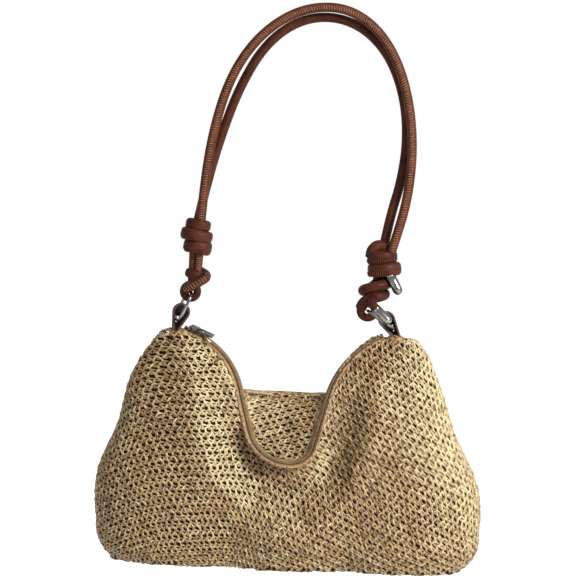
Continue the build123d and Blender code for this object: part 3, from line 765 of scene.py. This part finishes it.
def flap_wall_of():
    """The back panel's upper part, which shows inside the zip's U: u is simply x."""
    x, z = np.meshgrid(FLAP_X, FLAP_Z)
    y = -depth(x, z, -1)
    profile = -depth(np.full(FLAP_Z.shape, MID_X), FLAP_Z, -1)
    rise = np.concatenate([[0], np.cumsum(np.hypot(np.diff(FLAP_Z), np.diff(profile)))])
    limits = np.repeat([[FLAP_X[0] + 1, 0.0, 0.0, FLAP_X[-1] - 2]], len(FLAP_Z), axis=0)
    return Wall(x, z, y, FLAP_X, rise, limits, -1, BACK_EDGE)


front_wall = wrapped_wall(-1, FRONT_EDGE)
inner_wall = wrapped_wall(-1, BACK_EDGE)
back_wall = wrapped_wall(1)
flap_wall = flap_wall_of()

# ---- crochet: rows of stitches laid over a wall -------------------------------------------------------
ROW = 6.6
COLUMN = 6.0
YARN = 0.83
SIDES = 5
PAINTED_HIGHLIGHT_SIDE = np.array([0.66, -0.60, 0.45])      # painted highlight: the straw is painted paler where it faces this way, towards the key light
PAINTED_HIGHLIGHT_FROM, PAINTED_HIGHLIGHT_FULL = 0.70, 1.0
GAP = 0.9                  # how far the stitches stop short of the edge of the zip's bindings
SINK = 1.0                 # how far the stitches lie inside the wall

# One stitch: points (across the column, up the row, off the wall in mm) of each of its yarns
STITCH = np.array([
    [(0.60, -0.24, -0.5), (0.56, -0.06, 0.1), (0.51, 0.12, 0.5), (0.46, 0.28, 0.5), (0.42, 0.42, 0.0)],
    [(0.74, -0.22, -0.4), (0.71, -0.04, 0.2), (0.66, 0.14, 0.5), (0.60, 0.30, 0.4), (0.58, 0.46, -0.1)],
    [(0.52, 0.30, 0.1), (0.38, 0.44, 0.7), (0.24, 0.58, 0.9), (0.09, 0.70, 0.6), (-0.04, 0.80, 0.0)],
    [(0.50, 0.32, 0.1), (0.64, 0.46, 0.7), (0.78, 0.60, 0.9), (0.92, 0.72, 0.6), (1.03, 0.82, 0.0)],
    [(-0.02, 0.42, 0.4), (0.22, 0.36, 0.0), (0.48, 0.44, 0.3), (0.76, 0.52, 0.5), (1.02, 0.42, 0.4)],
    [(-0.04, 0.84, 0.6), (0.24, 0.93, 0.7), (0.50, 0.88, 0.1), (0.74, 0.76, 0.0), (1.04, 0.84, 0.6)],
])


class Lay:
    """How rows run over a wall: their slope at each u, and how far the columns lean with it."""

    def __init__(self, at_u, slopes, lean=0.4):
        self.u = np.arange(-260, 261, 2.0)
        self.slope = np.interp(self.u, at_u, slopes)
        self.rise = np.concatenate([[0], np.cumsum((self.slope[1:] + self.slope[:-1]) / 2 * 2.0)])
        self.rise -= np.interp(0, self.u, self.rise)
        self.lean = lean

    def place(self, a, b):
        """(u, v) of the lattice point a along the row and b up the columns."""
        u, v = a.copy(), b.copy()
        for _ in range(14):
            v = b + np.interp(u, self.u, self.rise)
            target = a - self.lean * (v - 100) * np.interp(u, self.u, self.slope)
            u = u + 0.6 * (target - u)
        return u, v


def crochet(name, wall, lay, keep, edge_sign=0):
    """A piece of crochet over a wall, wherever keep(u, v) says.

    edge_sign is 1 where the zip's edge is at the stitches' inner side, -1 at their outer side.
    """
    a, b = np.meshgrid(np.arange(-270, 270, COLUMN), np.arange(-160, 380, ROW))
    a = a + (np.round(b / ROW) % 2) * COLUMN / 2
    a, b = a.ravel(), b.ravel()
    u, v = lay.place(a + COLUMN / 2, b + ROW / 2)
    chosen = wall.on_bag(u, v, -1.0) & keep(u, v)
    a, b = a[chosen], b[chosen]
    count = len(a)
    wobble = rng.normal(0, 0.2, (count, 1, 1, 3)) + rng.normal(0, 0.2, (count, len(STITCH), 1, 3))
    local = STITCH[None] * np.array([COLUMN, ROW, 1.0]) + wobble
    local[..., 0] += a[:, None, None]
    local[..., 1] += b[:, None, None]
    u, v = lay.place(local[..., 0], local[..., 1])
    points = wall.read(wall.points, u, v)
    normals = unit(wall.read(wall.normals, u, v))
    lines = points + normals * (local[..., 2:] - SINK)
    # painted highlight on stitches facing the key light; painted shade on yarns lying deeper in the weave;
    # the rest is random tone
    painted_highlight = np.clip((normals @ PAINTED_HIGHLIGHT_SIDE - PAINTED_HIGHLIGHT_FROM) / (PAINTED_HIGHLIGHT_FULL - PAINTED_HIGHLIGHT_FROM), 0, 1)
    painted_light_and_tone = 0.65 * painted_highlight + 0.35 * (local[..., 2] - 0.35) + rng.normal(0, 0.24, (count, len(STITCH), 1))
    if edge_sign:
        over = edge_sign * wall.read(wall.past, u, v) + GAP
        inward = unit(wall.read(wall.inward, u, v)) * edge_sign
        back = np.maximum(over, 0)[..., None]
        lines[..., [0, 2]] -= inward * back
        lines -= normals * np.clip(back * 0.5, 0, 0.9)
    lines = lines.reshape(-1, lines.shape[2], 3)
    normals = normals.reshape(lines.shape)
    heading = unit(np.gradient(lines, axis=1))
    across = unit(np.cross(heading, normals))
    shape = tubes(lines, across, unit(np.cross(across, heading)), YARN, YARN * 0.95, SIDES)
    made = piece_from(name, shape, straw, "bag")
    # the painted highlight, painted shade and random tone go onto the mesh for the straw's mix
    painted_light_layer = made.data.attributes.new("painted_light_and_tone", "FLOAT", "POINT")
    painted_light_layer.data.foreach_set("value", np.repeat(np.clip(painted_light_and_tone, 0, 1).ravel(), SIDES))
    return made


front_lay = Lay([-150, -112, -60, -20, 30], [0.49, 0.12, 0.0, -0.36, -0.48])
flap_lay = Lay([-100, 100], [0.40, 0.40], 0.2)
back_lay = Lay([-120, 0, 120], [0.3, 0.0, -0.3], 0.0)
PEAK = -275.0              # no stitches above this height: the peaks' cores stand there
REACH = 2.2                # a stitch stays if its middle is no further than this past the zip's edge


def keep_between(low, high, wall, edge_sign):
    """The part of a wall from u = low to high on one side of the zip's edge."""
    def keep(u, v):
        inside = (u >= low) & (u < high) & (np.interp(v, RISE, LEVELS) < PEAK)
        return inside if not edge_sign else inside & (edge_sign * wall.read(wall.past, u, v) < REACH)
    return keep


def in_lobes(u, v):
    """Inside the zip's U above the back panel's ridge."""
    height = np.interp(v, RISE, LEVELS)
    return (-inner_wall.read(inner_wall.past, u, v) < REACH) & (height > SADDLE) & (height < PEAK)


PARTS = {
    "front_left_crochet": (-300, -75, front_wall, front_lay, 1),
    "front_middle_crochet": (-75, 60, front_wall, front_lay, 1),
    "front_right_crochet": (60, 300, front_wall, front_lay, 1),
    "flap_crochet": (-300, 300, flap_wall, flap_lay, -1),
    "back_left_crochet": (-300, -70, back_wall, back_lay, 0),
    "back_middle_crochet": (-70, 70, back_wall, back_lay, 0),
    "back_right_crochet": (70, 300, back_wall, back_lay, 0),
}
made_pieces = {}
for name, (low, high, wall, lay, edge_sign) in PARTS.items():
    made_pieces[name] = crochet(name, wall, lay, keep_between(low, high, wall, edge_sign), edge_sign)
made_pieces["shoulder_crochet"] = crochet("shoulder_crochet", inner_wall, front_lay, in_lobes, -1)


# ---- base: the same crochet, laid flat ----------------------------------------------------------------
class Base:
    """The bag's flat underside: (u, v) is (x, y + 100)."""

    points, normals = "points", "normals"

    def read(self, grid, u, v):
        """The points or the normals at (u, v)."""
        if grid == "points":
            return np.stack([u, v - 100, np.full(u.shape, FLOOR)], -1)
        return np.stack([np.zeros(u.shape), np.zeros(u.shape), np.full(u.shape, -1.0)], -1)

    def on_bag(self, u, v, margin):
        """Whether (u, v) lies on the base; the margin that a wall takes isn't used."""
        return np.abs(v - 100) < depth(u, np.full(u.shape, FLOOR), 1) - 1.5


level_lay = Lay([-100, 100], [0.0, 0.0])
made_pieces["base_crochet"] = crochet("base_crochet", Base(), level_lay, lambda u, v: np.full(u.shape, True))


# ---- lining: dark cloth behind the stitches' gaps --------------------------------------------------------
BACKING_INSET = 2.6


def backing(name, wall, keep):
    """A plain sheet inside a wall."""
    rows, columns = wall.points.shape[:2]
    inner = wall.points - wall.normals * BACKING_INSET
    u, v = np.meshgrid(wall.u_grid, wall.rise)
    good = (wall.on_bag(u, v, -3) & keep & (wall.points[..., 2] < PEAK - 3)).ravel()
    index = np.arange(rows * columns).reshape(rows, columns)
    quads = np.stack([index[:-1, :-1], index[:-1, 1:], index[1:, 1:], index[1:, :-1]], -1).reshape(-1, 4)
    quads = quads[good[quads].all(1)]
    used, quads = np.unique(quads, return_inverse=True)
    shape = inner.reshape(-1, 3)[used], quads.reshape(-1, 4)
    return piece_from(name, shape, lining, "bag")


mouth_line = zip_place[4:-4] + zip_width[4:-4] * (FRONT_EDGE - 0.5)
piece_from("mouth_chain", rope(mouth_line, 1.2, 300, 8), straw, "bag")
flap_ridge = flap_wall.points[-1][flap_wall.past[-1] > 1.0][::5]
piece_from("flap_ridge", rope(flap_ridge - [0, 0, 0.9], 1.8, 90), straw, "bag")
peaks = [core(-119.5, -278.5, 8.0, 9.0), core(69.5, -276.0, 8.0, 9.0)]
piece_from("peak_cores", joined(peaks), straw, "bag")
front_backing = backing("front_lining", front_wall, front_wall.past < 1.5)
backing("flap_lining", flap_wall, flap_wall.past > -1.5)
backing("back_lining", back_wall, np.full(back_wall.past.shape, True))
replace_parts(front_backing, "lining")
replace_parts(made_pieces["front_middle_crochet"], "front_panel")
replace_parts(made_pieces["back_middle_crochet"], "back_panel")
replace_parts(made_pieces["base_crochet"], "base_panel")


# ---- zip: bindings, tapes and coils ---------------------------------------------------------------------
def band(left, right, low, high, round_edge=0.35):
    """A strip along the zip: left to right across it, low to high off its surface, with rounded edges."""
    corners = []
    middles = [(right, high), (left, high), (left, low), (right, low)]
    for quarter, (w, h) in enumerate(middles):
        w += round_edge * (-1 if w == right else 1)
        h += round_edge * (-1 if h == high else 1)
        for angle in np.radians([0, 45, 90]) + quarter * pi / 2:
            corners.append((w + round_edge * cos(angle), h + round_edge * sin(angle)))
    corners = np.array(corners)
    across, off = corners[None, :, :1], corners[None, :, 1:]
    return skin(zip_place[:, None] + zip_width[:, None] * across + zip_up[:, None] * off)


COIL_PITCH = 1.35


def teeth(left, right, low, high):
    """A row of coils: short rounded bars across the zip."""
    run = np.concatenate([[0], np.cumsum(np.linalg.norm(np.diff(zip_place, axis=0), axis=1))])
    at = np.arange(3.2, run[-1] - 3.2, COIL_PITCH)
    place, along, width, up = (np.stack([np.interp(at, run, grid[:, k]) for k in range(3)], -1)[:, None]
                               for grid in (zip_place, zip_along, zip_width, zip_up))
    swing = np.linspace(0, pi, 7)[None, :, None]
    middle, half = (left + right) / 2, (right - left) / 2
    lines = place + width * (middle - half * np.cos(swing)) + up * (low + (high - low) * np.sin(swing) ** 0.6)
    heading = unit(np.gradient(lines, axis=1))
    side = np.repeat(unit(along), 7, axis=1)
    return tubes(lines, side, np.cross(side, heading), 0.6, 0.45, 6)


ZIP_BANDS = {
    "front_binding": (FRONT_EDGE, -2.9, -0.1, 0.98, binding),
    "back_binding": (2.6, BACK_EDGE, -0.1, 0.98, binding),
    "front_zip_tape": (FRONT_EDGE + 0.3, -0.2, -0.2, 0.25, tape),
    "back_zip_tape": (0.2, BACK_EDGE - 0.3, -0.2, 0.25, tape),
}
for name, (left, right, low, high, material) in ZIP_BANDS.items():
    round_edge = 0.35 if material == binding else 0.1
    made = piece_from(name + "_strip", band(left, right, low, high, round_edge), material, "bag")
    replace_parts(made, name)
for name, (left, right) in {"front_coil": (-1.35, -0.05), "back_coil": (0.05, 1.35)}.items():
    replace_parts(piece_from(name + "_teeth", teeth(left, right, 0.5, 1.75), coil, "bag"), name)

# ---- materials on the CAD nodes that stay -------------------------------------------------------------
FINISHES = {
    "top_stop": metal, "bottom_stop": metal, "zip_slider": metal, "zip_pull": metal,
    "inner_pocket": lining,
}
for name, material in FINISHES.items():
    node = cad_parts[name]
    node.data.materials.clear()
    node.data.materials.append(material)

# ---- floor, backdrop and light ----------------------------------------------------------------------
FLOOR_Z = -0.62            # clear below the hanging bag

pale = bpy.data.materials.new("pale")
pale.use_nodes = True
pale_shader = pale.node_tree.nodes["Principled BSDF"]
pale_shader.inputs["Base Color"].default_value = (0.96, 0.96, 0.96, 1)
pale_shader.inputs["Roughness"].default_value = 1.0
pale_shader.inputs["Emission Color"].default_value = (1, 1, 1, 1)
pale_shader.inputs["Emission Strength"].default_value = 0.12
bpy.ops.mesh.primitive_plane_add(size=16, location=(0, 0, FLOOR_Z))
floor = bpy.context.object
floor.name = "floor"
floor.data.materials.append(pale)

world = bpy.context.scene.world or bpy.data.worlds.new("world")
bpy.context.scene.world = world
world.use_nodes = True
world.node_tree.nodes["Background"].inputs["Color"].default_value = (1, 1, 1, 1)
world.node_tree.nodes["Background"].inputs["Strength"].default_value = 1.0
bpy.context.scene.view_settings.view_transform = "Standard"


def area_light(name, place, size, power):
    """A soft light aimed at the bag's middle."""
    light = bpy.data.lights.new(name, "AREA")
    light.size = size
    light.energy = power
    made = bpy.data.objects.new(name, light)
    bpy.context.scene.collection.objects.link(made)
    made.location = place
    made.rotation_euler = (Vector((0, 0, -0.35)) - Vector(place)).to_track_quat("-Z", "Y").to_euler()


area_light("key", (1.3, -1.4, 0.65), 0.4, 105)
